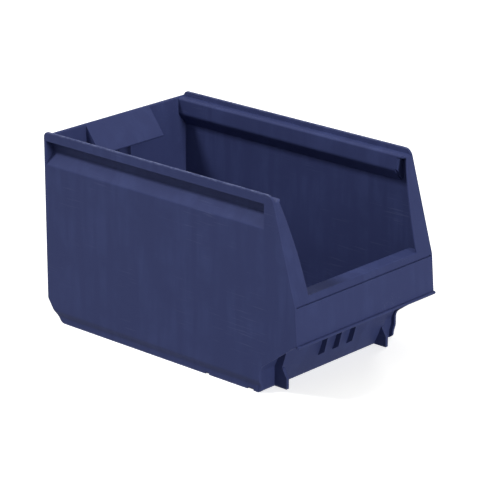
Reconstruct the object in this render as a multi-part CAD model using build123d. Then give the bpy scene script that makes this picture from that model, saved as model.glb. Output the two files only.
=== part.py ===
"""Open-front stacking storage box: one moulded body, laid out as its named members.

The frame stands on the surface under the box: +Z up, the picking front towards -Y, the grip end towards +Y,
and +X to the right of someone who faces the front. Side views are drawn with d, the distance forward of the rear
face, and z. Everything is in millimetres.
"""

import os
from math import atan2, cos, radians, sin, tan

from build123d import *

# Whole box
width = 200.0
overall_length = 333.5
height = 197.6
wall = 2.5

# Stacking rim along each side
ridge_thickness = 2.5
ridge_rise = 5.5
ridge_height = 9.5
ridge_edge_radius = 1.0
shelf_edge_radius = 2.0
rim_front_radius = 10.0
rim_rear_radius = 6.0
shelf_corner_radius = 6.0
shelf_brow_radius = 5.0

# Finger recess under each side rim
recess_depth = 10.5
recess_height = 21.1
flare_height = 12.5
recess_end_margin = 12.0
flare_bend_radius = 3.0

# Foot that drops between the rims of the box below
stack_clearance = 0.5
foot_rise = 6.3
foot_turn_height = 6.5
foot_bend_radius = 7.0
base_setback = 52.2
heel_height = 24.0
heel_length = 16.0
heel_lower_radius = 8.0
heel_upper_radius = 4.0
heel_overlap = 6.0

# Front profile of the side walls
side_toe_reach = 3.9
side_cut_angle = 36.2
side_cut_radius = 10.0
side_toe_radius = 5.0
front_lean = 16.0
edge_radius = 1.0
drain_notch_setbacks = [(68.3, 63.3), (14.3, 6.3)]
drain_notch_height = 2.0

# Front flanges beside the picking opening
flange_width_at_lip = 21.5
flange_width_mid = 17.5
flange_width_top = 8.2
flange_mid_drop = 49.6

# Label front
label_bottom = 60.0
label_lean = 4.4
label_gap = 1.7
label_gap_depth = 1.5
ledge_depth = 2.5
ledge_height = 3.0
lip_top = 103.0
lip_height = 6.0
lip_depth = 15.0
lip_end_gap = 11.0

# Nose under the label
corner_pocket_width = 23.0
nose_knee_height = 34.0
nose_lean = 15.6
nose_rib_pitch = 20.5
nose_rib_thickness = 2.6
nose_rib_depth = 5.6
nose_rib_foot = 18.0
corner_knee_height = 20.0
fin_thickness = 3.5
fin_reach = 15.0
fin_height = 10.7
fin_root = 20.0

# Grip in the rear wall
rear_rim_drop = 4.3
rear_rim_radius = 2.0
grip_half_width = 45.0
grip_opening_height = 35.3
grip_corner_radius = 6.0
hood_angle = 37.5
hood_depth = 22.5
hood_top_depth = 1.2
hood_top_radius = 2.0
grip_rib_thickness = 1.8
grip_rib_drop = 16.0
grip_rib_nose = 8.0

# Places worked out from the sizes above
rear_y = overall_length / 2
half = width / 2
inner = half - wall
base_front = overall_length - base_setback
side_front = base_front + side_toe_reach
shelf_top = height - ridge_rise
shelf_bottom = shelf_top - wall
lip_underside = height - ridge_height
foot_half = half - ridge_thickness - stack_clearance
recess_outer = half - recess_depth
recess_inner = recess_outer - wall
flare_top = height - recess_height
flare_foot = flare_top - flare_height
lip_half_width = inner - lip_end_gap
nose_half_width = inner - corner_pocket_width
rear_rim = height - rear_rim_drop
grip_sill = rear_rim - grip_opening_height
label_top = lip_top - lip_height
label_front = overall_length - ledge_depth
flange_slot = wall / cos(radians(front_lean))
flare_angle = atan2(recess_depth, flare_height)
panel_foot = label_bottom - ledge_height
heel_end = heel_length + heel_overlap
floor_front = base_front - wall
nose_drop = tan(radians(nose_lean))
panel_reach = (wall + label_gap_depth) / 2
hood_drop = tan(radians(hood_angle))


def front_line(z):
    """Distance forward of the front outline at height z, between the label's foot and the rim."""
    upright = label_front - (min(z, label_top) - label_bottom) * tan(radians(label_lean))
    return upright - max(z - label_top, 0) * tan(radians(front_lean))


recess_front = front_line(lip_underside) - recess_end_margin


def at(d, z):
    """A point of a side view, d forward of the rear face."""
    return (rear_y - d, z)


def outline(*points):
    return make_face(Polyline(*points, close=True))


def side_view(*points):
    return outline(*[at(d, z) for d, z in points])


def rounded(face, point, radius):
    """The face with the corner nearest to point rounded."""
    corner = face.vertices().sort_by_distance(Vector(point[0], point[1], 0))[0]
    return fillet(corner, radius)


def across(face, x_from, x_to):
    """A side view carried across the box from x_from to x_to."""
    return extrude(Plane.YZ.offset(x_from) * face, amount=x_to - x_from)


def along(face, d_from, d_to):
    """A front view, in x and z, carried forward from d_from to d_to."""
    return extrude(Plane.XZ.offset(d_from - rear_y) * face, amount=d_to - d_from)


def strip(path, side):
    """The wall's thickness laid on one side of a path."""
    return make_face(offset(path, amount=wall, side=side, closed=True))


def edges_between(solid, axis, low, high):
    """Edges along an axis whose centre lies in a box."""
    return [
        edge
        for edge in solid.edges().filter_by(axis)
        if all(low[i] <= tuple(edge.center())[i] <= high[i] for i in range(3))
    ]


# Outlines shared by several members


def silhouette():
    """The side walls' outline from the foot to the ridge."""
    cut_drop = (label_front - side_front) * tan(radians(side_cut_angle))
    rear_low = (0, heel_height)
    heel = (heel_length, 0)
    toe = (side_front, 0)
    cut = (side_front, label_bottom - cut_drop)
    brow = (front_line(height), height)
    face = side_view(
        rear_low,
        heel,
        toe,
        cut,
        (label_front, label_bottom),
        (front_line(label_top), label_top),
        brow,
        (0, height),
    )
    corners = [
        (rear_low, heel_upper_radius),
        (heel, heel_lower_radius),
        (toe, side_toe_radius),
        (cut, side_cut_radius),
        (brow, rim_front_radius),
        ((0, height), rim_rear_radius),
    ]
    for point, radius in corners:
        face = rounded(face, at(*point), radius)
    return face


def nose_outline():
    """Outer path of the nose, from the base up to the lip."""
    top = (nose_outer(lip_top), lip_top)
    knee = (nose_outer(nose_knee_height), nose_knee_height)
    rise = Line(at(*top), at(*knee))
    curve = TangentArc(at(*knee), at(base_front, 0), tangent=rise % 1)
    return rise, curve


def nose_outer(z):
    """Distance forward of the nose's outer face on its straight stretch."""
    inner_edge = front_line(lip_top) - lip_depth
    return inner_edge + wall / cos(radians(nose_lean)) - (lip_top - z) * nose_drop


def front_slab():
    """The leaning slab that the front flanges are cut from, turned back into the rim shelf."""
    brow = (front_line(shelf_top), shelf_top)
    face = side_view(
        (front_line(label_top) - flange_slot, label_top),
        (front_line(label_top), label_top),
        brow,
        (front_line(shelf_top) - flange_slot - shelf_brow_radius, shelf_top),
        (front_line(shelf_bottom) - flange_slot - shelf_brow_radius, shelf_bottom),
        (front_line(shelf_bottom) - flange_slot, shelf_bottom),
    )
    return rounded(face, at(*brow), shelf_brow_radius)


# Side members, each drawn on the right-hand side


def side_wall():
    top = flare_foot - wall
    shoulder = foot_rise + foot_turn_height
    path = FilletPolyline(
        (half, top), (half, shoulder), (foot_half, foot_rise), (foot_half, 0), radius=foot_bend_radius
    )
    panel = along(strip(path, Side.RIGHT), 0, overall_length) & across(silhouette(), 0, width)
    for start, end in drain_notch_setbacks:
        notch = side_view(
            (base_front - start, -1),
            (base_front - start, drain_notch_height),
            (base_front - end, drain_notch_height),
            (base_front - end, -1),
        )
        panel -= across(notch, 0, width)
    return panel


def front_post():
    block = outline(
        (inner, flare_foot - wall),
        (half, flare_foot - wall),
        (half, lip_underside),
        (inner, lip_underside),
    )
    return along(block, recess_front, overall_length) & across(silhouette(), 0, width)


def recess_flare():
    """The wall's step out from the recess to the main wall."""
    bend = flare_bend_radius
    path = FilletPolyline(
        (recess_outer, flare_top + bend),
        (recess_outer, flare_top),
        (half, flare_foot),
        (half, flare_foot - wall),
        radius=bend,
    )
    return along(strip(path, Side.RIGHT), wall, recess_front)


def recess_wall():
    low = flare_top + flare_bend_radius
    block = outline(
        (recess_inner, low), (recess_outer, low), (recess_outer, shelf_bottom), (recess_inner, shelf_bottom)
    )
    return along(block, wall, recess_front + wall)


def recess_end():
    """The plate that closes the recess in front."""
    bend = wall * tan(flare_angle / 2)
    block = outline(
        (recess_inner, flare_top + flare_bend_radius),
        (recess_inner, flare_top + bend),
        (inner, flare_foot + bend),
        (inner, shelf_bottom),
        (recess_inner, shelf_bottom),
    )
    return along(block, recess_front, recess_front + wall) - recess_wall()


def stacking_ridge():
    block = outline(
        (half - ridge_thickness, lip_underside),
        (half, lip_underside),
        (half, height),
        (half - ridge_thickness, height),
    )
    for x in (half - ridge_thickness, half):
        block = rounded(block, (x, height), ridge_edge_radius)
    return along(block, 0, overall_length) & across(silhouette(), 0, width)


def rim_shelf():
    block = outline(
        (recess_inner, shelf_bottom),
        (half - ridge_thickness, shelf_bottom),
        (half - ridge_thickness, shelf_top),
        (recess_inner, shelf_top),
    )
    block = rounded(block, (recess_inner, shelf_top), shelf_edge_radius)
    front = rear_y - front_line(shelf_top)
    plan = outline((recess_inner, front), (half, front), (half, rear_y), (recess_inner, rear_y))
    plan = rounded(plan, (recess_inner, front), shelf_corner_radius)
    plate = along(block, wall, overall_length) & extrude(plan, amount=height)
    brow = (front_line(shelf_top), shelf_top)
    outer = side_view((0, label_top), (front_line(label_top), label_top), brow, (0, shelf_top))
    return (plate & across(rounded(outer, at(*brow), shelf_brow_radius), 0, width)) - front_flange()


def front_flange():
    """The return beside the opening, narrower towards the rim."""
    low = (half - flange_width_at_lip, label_top)
    mid = (half - flange_width_mid, height - flange_mid_drop)
    high = (half - flange_width_top, shelf_top)
    edge = Spline(low, mid, high)
    rest = Polyline(high, (inner, shelf_top), (inner, label_top), low)
    flange = along(make_face(edge + rest), recess_front, overall_length) & across(front_slab(), 0, width)
    free = [e for e in flange.edges() if e.length > flange_mid_drop and e.center().X < half - flange_width_top]
    return fillet(free, edge_radius)


# Front members


def front_lip():
    """The flange on top of the label front, with a skirt in front that leans with the side flanges."""
    back = front_line(lip_top) - lip_depth
    brow = (front_line(lip_top), lip_top)
    face = side_view(
        (back, lip_top),
        brow,
        (front_line(label_top), label_top),
        (front_line(label_top) - flange_slot, label_top),
        (front_line(lip_top - wall) - flange_slot, lip_top - wall),
        (back, lip_top - wall),
    )
    face = rounded(face, at(*brow), edge_radius)
    face = rounded(face, at(back, lip_top), edge_radius)
    lip = across(face, -lip_half_width, lip_half_width)
    return lip - both(front_flange())


def label_panel():
    """The plate that takes the card, with a slot for the card's edge under the lip."""
    thick = wall / cos(radians(label_lean))
    foot = front_line(panel_foot)
    top = front_line(label_top)
    slot_foot = label_top - label_gap
    face = side_view(
        (foot - thick, panel_foot),
        (foot, panel_foot),
        (front_line(slot_foot), slot_foot),
        (front_line(slot_foot) - label_gap_depth, slot_foot),
        (top - label_gap_depth, label_top),
        (top - thick, label_top),
    )
    return across(face, -inner, inner)


def label_ledge():
    """The bead that carries the card's lower edge."""
    back = front_line(panel_foot)
    face = side_view(
        (back, panel_foot),
        (overall_length, panel_foot),
        (overall_length, label_bottom),
        (front_line(label_bottom), label_bottom),
    )
    for z in (panel_foot, label_bottom):
        face = rounded(face, at(overall_length, z), ledge_height * 0.45)
    return across(face, -half, half) - both(side_wall())


def nose_strip():
    return strip(Wire(list(nose_outline())), Side.LEFT)


def front_wall():
    """The leaning wall behind the label, above the nose."""
    sheet = across(nose_strip(), -lip_half_width, lip_half_width)
    band = side_view(
        (0, panel_foot), (overall_length, panel_foot), (overall_length, lip_top), (0, lip_top)
    )
    return (sheet & across(band, -width, width)) - front_lip()


def nose_panel():
    sheet = across(nose_strip(), -nose_half_width, nose_half_width)
    band = side_view((0, 0), (overall_length, 0), (overall_length, panel_foot), (0, panel_foot))
    return sheet & across(band, -width, width)


def corner_line(z):
    """Distance forward of the corner pocket's rear wall at height z."""
    reach = nose_outer(panel_foot) - wall - base_front
    return base_front + reach * max(z - corner_knee_height, 0) / (panel_foot - corner_knee_height)


def corner_panel():
    """The rear wall of the corner pocket beside the nose."""
    face = side_view(
        (floor_front, 0),
        (base_front, 0),
        (base_front, corner_knee_height),
        (corner_line(panel_foot), panel_foot),
        (corner_line(panel_foot) - wall, panel_foot),
        (floor_front, corner_knee_height),
    )
    return across(face, nose_half_width, inner) - side_wall()


def corner_step():
    """The ceiling of the corner pocket."""
    face = side_view(
        (corner_line(panel_foot) - wall, panel_foot),
        (overall_length, panel_foot),
        (overall_length, panel_foot + wall),
        (corner_line(panel_foot) - wall, panel_foot + wall),
    )
    plate = across(face, nose_half_width, inner) - front_wall() - side_wall()
    keep = side_view(
        (0, 0),
        (front_line(panel_foot) - wall, 0),
        (front_line(panel_foot) - wall, height),
        (0, height),
    )
    return (plate & across(keep, 0, width)) - label_panel()


def nose_cheek():
    """The side of the nose, back to the corner pocket's wall."""
    face = side_view(
        (floor_front, 0),
        (base_front, 0),
        (nose_outer(nose_knee_height), nose_knee_height),
        (nose_outer(panel_foot), panel_foot),
        (corner_line(panel_foot) - wall, panel_foot),
        (floor_front, corner_knee_height),
    )
    return across(face, nose_half_width - wall, nose_half_width) - nose_panel()


def lip_return():
    """The end of the label front, from the pocket's ceiling up to the lip."""
    face = side_view(
        (nose_outer(panel_foot + wall) - wall, panel_foot + wall),
        (front_line(panel_foot) - panel_reach, panel_foot + wall),
        (front_line(label_top) - panel_reach, lip_top - wall),
        (nose_outer(lip_top) - wall, lip_top - wall),
    )
    plate = across(face, lip_half_width - wall, lip_half_width)
    return plate - front_wall() - label_panel() - front_lip() - front_flange()


def nose_rib(x):
    """A grip rib: low on the nose, then a web up to the lip."""
    foot = nose_rib_foot
    start = foot + nose_rib_depth * 0.8
    face = side_view(
        (nose_outer(foot) - wall, foot),
        (nose_outer(foot), foot),
        (nose_outer(start) + nose_rib_depth, start),
        (nose_outer(panel_foot) + nose_rib_depth, panel_foot),
        (front_line(label_bottom) - panel_reach, label_bottom + wall),
        (front_line(label_top) - panel_reach, lip_top - wall),
        (nose_outer(lip_top) - wall, lip_top - wall),
    )
    web = across(face, x - nose_rib_thickness / 2, x + nose_rib_thickness / 2)
    return web - nose_panel() - front_wall() - label_panel() - front_lip()


def stacking_fin():
    """The stop in front of the nose, which drops inside the rims of the box below."""
    face = side_view(
        (base_front, 0),
        (base_front + fin_reach, 0),
        (base_front + fin_reach, fin_height),
        (nose_outer(fin_root), fin_root),
        (base_front, fin_root),
    )
    face = rounded(face, at(base_front + fin_reach, fin_height), edge_radius)
    fin = across(face, nose_half_width - fin_thickness, nose_half_width) - nose_panel()
    return fin.solids().sort_by(Axis.Y)[0]


# Base and rear members


def floor():
    reach = foot_half - wall
    face = side_view((heel_end, 0), (floor_front, 0), (floor_front, wall), (heel_end, wall))
    return across(face, -reach, reach)


def rear_heel():
    """The slanted foot of the rear wall."""
    path = FilletPolyline(
        at(0, heel_height + heel_overlap),
        at(0, heel_height),
        at(heel_length, 0),
        at(heel_end, 0),
        radius=[heel_upper_radius, heel_lower_radius],
    )
    sheet = across(strip(path, Side.RIGHT), -inner, inner) - both(side_wall())
    return sheet.solids().sort_by(SortBy.VOLUME)[-1]


def rear_wall():
    foot = heel_height + heel_overlap
    face = outline((-half, foot), (half, foot), (half, rear_rim), (-half, rear_rim))
    notch = outline(
        (-grip_half_width, grip_sill),
        (grip_half_width, grip_sill),
        (grip_half_width, height),
        (-grip_half_width, height),
    )
    for x in (-grip_half_width, grip_half_width):
        notch = rounded(notch, (x, grip_sill), grip_corner_radius)
    plate = along(face - notch, 0, wall) - both(side_wall()) - both(stacking_ridge())
    inner_y = rear_y - wall
    top = edges_between(
        plate, Axis.X, (-half, inner_y - 0.1, rear_rim - 0.1), (half, inner_y + 0.1, rear_rim + 0.1)
    )
    return fillet(top, rear_rim_radius)


def hood_under(d):
    """Height of the hood's underside, d forward of the rear face."""
    drop = wall / sin(radians(hood_angle))
    return rear_rim - drop - (d - hood_top_depth) / hood_drop


def hood_end():
    """The lower rear corner of the hood, as d and z."""
    foot = rear_rim - (hood_depth - hood_top_depth) / hood_drop
    angle = radians(hood_angle)
    return hood_depth - wall * cos(angle), foot - wall * sin(angle)


def grip_hood():
    """The sloping hood over the finger opening."""
    foot = rear_rim - (hood_depth - hood_top_depth) / hood_drop
    face = side_view(
        (0, rear_rim),
        (hood_top_depth, rear_rim),
        (hood_depth, foot),
        hood_end(),
        (0, hood_under(0)),
    )
    face = rounded(face, at(hood_top_depth, rear_rim), hood_top_radius)
    face = rounded(face, at(hood_depth, foot), edge_radius)
    return across(face, -grip_half_width, grip_half_width)


def grip_cheek():
    face = side_view((0, hood_end()[1]), (0, hood_under(0)), hood_end())
    return across(face, grip_half_width - wall, grip_half_width)


def grip_rib():
    """The rib between the hood and the wall under the opening."""
    end, end_height = hood_end()
    face = side_view(
        (wall, grip_sill - grip_rib_drop),
        (wall, grip_sill),
        (grip_rib_nose, hood_under(grip_rib_nose)),
        (end, end_height),
        (end, end_height - grip_rib_nose),
    )
    return across(face, -grip_rib_thickness / 2, grip_rib_thickness / 2)


def both(solid):
    return solid + mirror(solid, about=Plane.YZ)


def pairs():
    """Members that the box has on each side."""
    return {
        "side_wall": side_wall(),
        "front_post": front_post(),
        "recess_flare": recess_flare(),
        "recess_wall": recess_wall(),
        "recess_end": recess_end(),
        "stacking_ridge": stacking_ridge(),
        "rim_shelf": rim_shelf(),
        "front_flange": front_flange(),
        "lip_return": lip_return(),
        "corner_panel": corner_panel(),
        "corner_step": corner_step(),
        "nose_cheek": nose_cheek(),
        "stacking_fin": stacking_fin(),
        "grip_cheek": grip_cheek(),
    }


def singles():
    """Members that the box has once, and the numbered ribs."""
    members = {
        "floor": floor(),
        "rear_heel": rear_heel(),
        "rear_wall": rear_wall(),
        "grip_hood": grip_hood(),
        "grip_rib": grip_rib(),
        "front_lip": front_lip(),
        "label_panel": label_panel(),
        "label_ledge": label_ledge(),
        "front_wall": front_wall(),
        "nose_panel": nose_panel(),
    }
    for number in range(3):
        members[f"nose_rib_{number + 1}"] = nose_rib((number - 1) * nose_rib_pitch)
    return members


def main():
    os.makedirs("parts", exist_ok=True)
    for name, solid in pairs().items():
        export_step(solid, f"parts/{name}_right.step")
        export_step(mirror(solid, about=Plane.YZ), f"parts/{name}_left.step")
    for name, solid in singles().items():
        export_step(solid, f"parts/{name}.step")


main()
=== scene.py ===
"""Looks of an open-front stacking storage box: one dark navy polypropylene moulding."""

from math import cos, pi, radians, sin

import bmesh
import bpy
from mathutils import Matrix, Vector


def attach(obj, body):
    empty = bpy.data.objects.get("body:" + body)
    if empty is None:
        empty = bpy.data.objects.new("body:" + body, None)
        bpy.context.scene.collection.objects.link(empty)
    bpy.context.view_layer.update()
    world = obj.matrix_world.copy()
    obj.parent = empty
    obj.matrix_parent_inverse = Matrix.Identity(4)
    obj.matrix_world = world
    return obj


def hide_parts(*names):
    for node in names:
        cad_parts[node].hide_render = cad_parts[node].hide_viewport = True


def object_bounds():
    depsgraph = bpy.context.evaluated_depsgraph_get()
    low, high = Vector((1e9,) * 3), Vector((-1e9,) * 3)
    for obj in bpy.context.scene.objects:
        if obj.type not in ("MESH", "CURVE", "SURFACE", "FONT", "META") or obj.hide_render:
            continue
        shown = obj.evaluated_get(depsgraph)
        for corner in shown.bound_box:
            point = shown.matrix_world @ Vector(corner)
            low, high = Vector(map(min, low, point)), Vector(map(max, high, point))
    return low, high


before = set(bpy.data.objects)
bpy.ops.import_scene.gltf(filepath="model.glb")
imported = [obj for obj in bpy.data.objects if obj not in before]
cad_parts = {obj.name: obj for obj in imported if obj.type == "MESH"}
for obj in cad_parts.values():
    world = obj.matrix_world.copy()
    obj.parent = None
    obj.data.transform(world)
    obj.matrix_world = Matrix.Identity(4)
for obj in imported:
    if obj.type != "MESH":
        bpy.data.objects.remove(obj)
cad_box = [list(corner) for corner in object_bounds()]

# Camera, fitted to the photograph's corners
CAMERA_AZIMUTH = -47.394
CAMERA_ELEVATION = 19.259
CAMERA_DISTANCE = 2.601633
CAMERA_LENS = 189.298
CAMERA_SENSOR = 36.0
AIM_ACROSS = 0.124184
AIM_UP = 0.055858

# Studio light: direction each lamp shines from, as x, y, z, and its level on a face square to it
KEY_FROM = (-0.12, -0.957, 0.264)
KEY_LEVEL = 0.50
SIDE_FROM = (-0.520, 0.350, 0.779)
SIDE_LEVEL = 0.55
LAMP_ANGLE = 12.0
BACK_FROM = (0.855, 0.210, 0.474)
BACK_LEVEL = 0.20
FILL_LEVEL = 0.34

# Moulded surface: colours, then feature sizes in metres
NAVY_DEEP = "#373F6A"
NAVY_PALE = "#3D4673"
NAVY_RUBBED = "#6A7298"
CLOUD_SIZE = 0.045
STREAK_WIDTH = 0.014
HAIR_WIDTH = 0.0011
PATCH_SIZE = 0.060
RUB_GRAIN = 0.0025
RUB_DEPTH = 0.0022
RIM_TOP = 0.1976
GRAIN_SIZE = 0.0007
SWELL_SIZE = 0.030
WORN_POLISH = 0.14

# Front edge of the floor, run forward inside the nose's foot: where it lies at the bottom and at the top
FLOOR_FRONT_LOW = -0.1145
FLOOR_FRONT_HIGH = -0.1130
FLOOR_MIDDLE = 0.001
MERGE_DISTANCE = 1e-6
FRONT_TOLERANCE = 1e-5

# Studio floor
PALE_FLOOR = "#F4F4F2"
BOUNCE_GREY = "#808080"
FLOOR_LIFT = 0.62
FLOOR_SIZE = 30.0
WHITE = (1.0, 1.0, 1.0, 1.0)


def linear(code):
    """A linear colour from an sRGB hex code."""
    parts = [int(code[i : i + 2], 16) / 255 for i in (1, 3, 5)]
    return [v / 12.92 if v <= 0.04045 else ((v + 0.055) / 1.055) ** 2.4 for v in parts] + [1.0]


def add_node(tree, kind, inputs=None, **settings):
    """A node with its settings. Inputs, by name or number, take a value or a link from another node's socket."""
    node = tree.nodes.new(kind)
    for name, value in settings.items():
        if name in node.bl_rna.properties:
            setattr(node, name, value)
        else:
            node.inputs[name.replace("_", " ")].default_value = value
    for name, value in (inputs or {}).items():
        if isinstance(value, bpy.types.NodeSocket):
            tree.links.new(value, node.inputs[name])
        else:
            node.inputs[name].default_value = value
    return node


def new_material(name):
    material = bpy.data.materials.new(name)
    material.use_nodes = True
    material.node_tree.nodes.clear()
    return material, material.node_tree


def moulded_polypropylene():
    """Injection-moulded polypropylene, dyed right through: satin, with the mould's spark-eroded grain.

    The melt cools with faint flow streaks up the walls, and handling adds pale scratches along the box's length.
    Stacking rubs the rim's top and the foot pale and smooth.
    """
    material, tree = new_material("moulded_polypropylene")
    place = add_node(tree, "ShaderNodeTexCoord").outputs["Object"]
    height = add_node(tree, "ShaderNodeSeparateXYZ", {"Vector": place}).outputs["Z"]

    # Each pattern: feature size, detail, roughness, scale along x, y and z, and the span of its value: from low and
    # high, to bottom and top
    patterns = {
        "clouds": (CLOUD_SIZE, 4.0, 0.6, None, (0.34, 0.66, 0.0, 1.0)),
        "streaks": (STREAK_WIDTH, 3.0, 0.55, (1.0, 1.0, 0.12), (0.36, 0.64, 0.0, 1.0)),
        "hairs": (HAIR_WIDTH, 2.0, 0.4, (1.0, 0.03, 0.7), (0.60, 0.70, 0.0, 1.0)),
        "patches": (PATCH_SIZE, 2.0, 0.5, None, (0.50, 0.68, 0.0, 0.16)),
        "breaks": (RUB_GRAIN, 4.0, 0.7, (1.0, 0.4, 1.0), (0.42, 0.60, 0.15, 0.75)),
        "grain": (GRAIN_SIZE, 3.0, 0.6, None, (0.3, 0.7, 0.60, 0.72)),
        "swell": (SWELL_SIZE, 1.0, 0.5, None, None),
    }
    raw, levels = {}, {}
    for name, (size, detail, rough, stretch, span) in patterns.items():
        vector = place
        if stretch:
            vector = add_node(tree, "ShaderNodeMapping", {"Vector": place}, Scale=stretch).outputs["Vector"]
        raw[name] = add_node(
            tree, "ShaderNodeTexNoise", {"Vector": vector}, Scale=1.0 / size, Detail=detail, Roughness=rough
        ).outputs["Fac"]
        if span:
            levels[name] = (raw[name], *span)

    # Stacking: the rim's top and the foot touch the next box
    levels["rim"] = (height, RIM_TOP - RUB_DEPTH, RIM_TOP, 0.0, 1.0)
    levels["foot"] = (height, 0.0, RUB_DEPTH, 1.0, 0.0)
    level = {
        name: add_node(
            tree,
            "ShaderNodeMapRange",
            {"Value": socket, "From Min": low, "From Max": high, "To Min": bottom, "To Max": top},
            interpolation_type="SMOOTHSTEP",
        ).outputs["Result"]
        for name, (socket, low, high, bottom, top) in levels.items()
    }

    # Flow is where clouds and streaks meet, scratches come in patches, and rubbing is broken up
    for name, operation, first, second in (
        ("flow", "MULTIPLY", "clouds", "streaks"),
        ("scratched", "MULTIPLY", "hairs", "patches"),
        ("ends", "MAXIMUM", "rim", "foot"),
        ("rubbed", "MULTIPLY", "ends", "breaks"),
        ("worn", "MAXIMUM", "scratched", "rubbed"),
    ):
        node = add_node(tree, "ShaderNodeMath", {0: level[first], 1: level[second]}, operation=operation)
        level[name] = node.outputs[0]

    dye = add_node(
        tree, "ShaderNodeMix", {0: level["flow"], 6: linear(NAVY_DEEP), 7: linear(NAVY_PALE)}, data_type="RGBA"
    )
    colour = add_node(
        tree, "ShaderNodeMix", {0: level["worn"], 6: dye.outputs[2], 7: linear(NAVY_RUBBED)}, data_type="RGBA"
    )

    # Worn places are smoother
    polish = add_node(
        tree,
        "ShaderNodeMapRange",
        {"Value": level["worn"], "From Min": 0.0, "From Max": 1.0, "To Min": 0.0, "To Max": -WORN_POLISH},
        interpolation_type="SMOOTHSTEP",
    )
    satin = add_node(tree, "ShaderNodeMath", {0: level["grain"], 1: polish.outputs["Result"]}, operation="ADD")

    # Sink marks, then the grain: the real pits are about 0.1 mm, drawn 0.7 mm wide so that they show
    sink = add_node(tree, "ShaderNodeBump", {"Height": raw["swell"]}, Strength=0.35, Distance=0.0006)
    pits = add_node(
        tree,
        "ShaderNodeBump",
        {"Height": raw["grain"], "Normal": sink.outputs["Normal"]},
        Strength=0.3,
        Distance=0.0001,
    )
    shader = add_node(
        tree,
        "ShaderNodeBsdfPrincipled",
        {
            "Base Color": colour.outputs[2],
            "Roughness": satin.outputs[0],
            "Normal": pits.outputs["Normal"],
        },
        IOR=1.49,
        Specular_IOR_Level=0.15,
    )
    add_node(tree, "ShaderNodeOutputMaterial", {"Surface": shader.outputs["BSDF"]})
    return material


def seen_rays(tree):
    """1 where the camera looks straight, or by a mirror or through glass, and so sees the pale studio."""
    path = add_node(tree, "ShaderNodeLightPath").outputs
    rays = {0: path["Is Glossy Ray"], 1: path["Is Transmission Ray"]}
    mirrored = add_node(tree, "ShaderNodeMath", rays, operation="MAXIMUM")
    rays = {0: path["Is Camera Ray"], 1: mirrored.outputs[0]}
    return add_node(tree, "ShaderNodeMath", rays, operation="MAXIMUM").outputs[0]


def pale_floor_paint():
    """Matte white paint, which takes the box's soft shadow and throws little light back up at the box."""
    material, tree = new_material("matte_white_paint")
    paint = add_node(tree, "ShaderNodeBsdfDiffuse", Color=linear(PALE_FLOOR)).outputs["BSDF"]
    lift = add_node(tree, "ShaderNodeEmission", Strength=FLOOR_LIFT).outputs["Emission"]
    shown = add_node(tree, "ShaderNodeAddShader", {0: paint, 1: lift}).outputs["Shader"]
    bounced = add_node(tree, "ShaderNodeBsdfDiffuse", Color=linear(BOUNCE_GREY)).outputs["BSDF"]
    mix = add_node(tree, "ShaderNodeMixShader", {0: seen_rays(tree), 1: bounced, 2: shown})
    add_node(tree, "ShaderNodeOutputMaterial", {"Surface": mix.outputs["Shader"]})
    return material


def make_floor():
    bpy.ops.mesh.primitive_plane_add(size=FLOOR_SIZE)
    floor = bpy.context.object
    floor.name = "studio_floor"
    floor.data.materials.append(pale_floor_paint())


def make_lamp(name, direction, level):
    """A distant lamp whose level is the brightness of a white face square to it."""
    data = bpy.data.lights.new(name, "SUN")
    data.energy = level * pi
    data.angle = radians(LAMP_ANGLE)
    lamp = bpy.data.objects.new(name, data)
    lamp.rotation_mode = "QUATERNION"
    lamp.rotation_quaternion = Vector(direction).to_track_quat("Z", "Y")
    bpy.context.scene.collection.objects.link(lamp)


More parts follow.
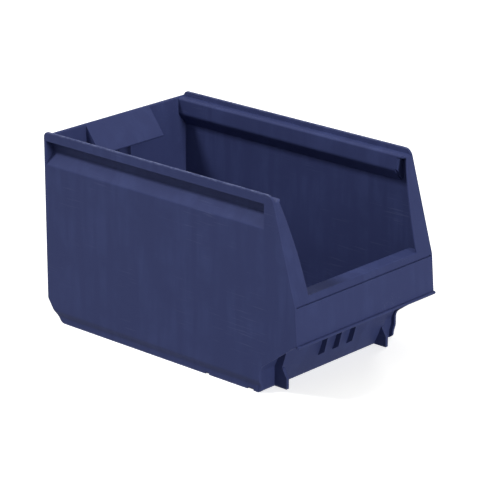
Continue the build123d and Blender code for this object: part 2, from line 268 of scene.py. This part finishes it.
def make_world():
    """Soft fill light, with white where the camera looks past the floor, or sees past it in a sheen."""
    world = bpy.data.worlds.new("studio")
    world.use_nodes = True
    tree = world.node_tree
    tree.nodes.clear()
    fill = add_node(tree, "ShaderNodeBackground", Color=WHITE, Strength=FILL_LEVEL).outputs[0]
    white = add_node(tree, "ShaderNodeBackground", Color=WHITE, Strength=1.0).outputs[0]
    mix = add_node(tree, "ShaderNodeMixShader", {0: seen_rays(tree), 1: fill, 2: white})
    add_node(tree, "ShaderNodeOutputWorld", {"Surface": mix.outputs[0]})
    bpy.context.scene.world = world


def make_camera():
    low, high = (Vector(corner) for corner in cad_box)
    azimuth, elevation = radians(CAMERA_AZIMUTH), radians(CAMERA_ELEVATION)
    back = Vector((sin(azimuth) * cos(elevation), -cos(azimuth) * cos(elevation), sin(elevation)))
    right = Vector((cos(azimuth), sin(azimuth), 0))
    up = back.cross(right)
    rear_foot = Vector((0, high.y, low.z))
    data = bpy.data.cameras.new("camera")
    data.sensor_width = CAMERA_SENSOR
    data.lens = CAMERA_LENS
    camera = bpy.data.objects.new("camera", data)
    camera.location = rear_foot + back * CAMERA_DISTANCE + right * AIM_ACROSS + up * AIM_UP
    camera.rotation_euler = (radians(90) - elevation, 0, azimuth)
    bpy.context.scene.collection.objects.link(camera)
    bpy.context.scene.camera = camera


def closed_floor(material):
    """The floor with its front edge run into the foot of the nose, because the moulding's skin is unbroken there."""
    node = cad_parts["floor"]
    shape = bmesh.new()
    shape.from_mesh(node.data)
    shape.transform(node.matrix_world)
    bmesh.ops.remove_doubles(shape, verts=shape.verts, dist=MERGE_DISTANCE)
    front = min(vert.co.y for vert in shape.verts)
    for vert in shape.verts:
        if vert.co.y < front + FRONT_TOLERANCE:
            vert.co.y = FLOOR_FRONT_LOW if vert.co.z < FLOOR_MIDDLE else FLOOR_FRONT_HIGH
    mesh = bpy.data.meshes.new("floor_plate")
    shape.to_mesh(mesh)
    shape.free()
    mesh.materials.append(material)
    plate = bpy.data.objects.new("floor_plate", mesh)
    bpy.context.scene.collection.objects.link(plate)
    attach(plate, "root")
    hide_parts("floor")


def dress(nodes, material):
    for node in nodes:
        for slot in node.material_slots:
            slot.material = material


plastic = moulded_polypropylene()
dress(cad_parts.values(), plastic)
closed_floor(plastic)
make_floor()
make_world()
make_lamp("key_lamp", KEY_FROM, KEY_LEVEL)
make_lamp("side_lamp", SIDE_FROM, SIDE_LEVEL)
make_lamp("back_lamp", BACK_FROM, BACK_LEVEL)
make_camera()
bpy.context.scene.view_settings.view_transform = "Standard"
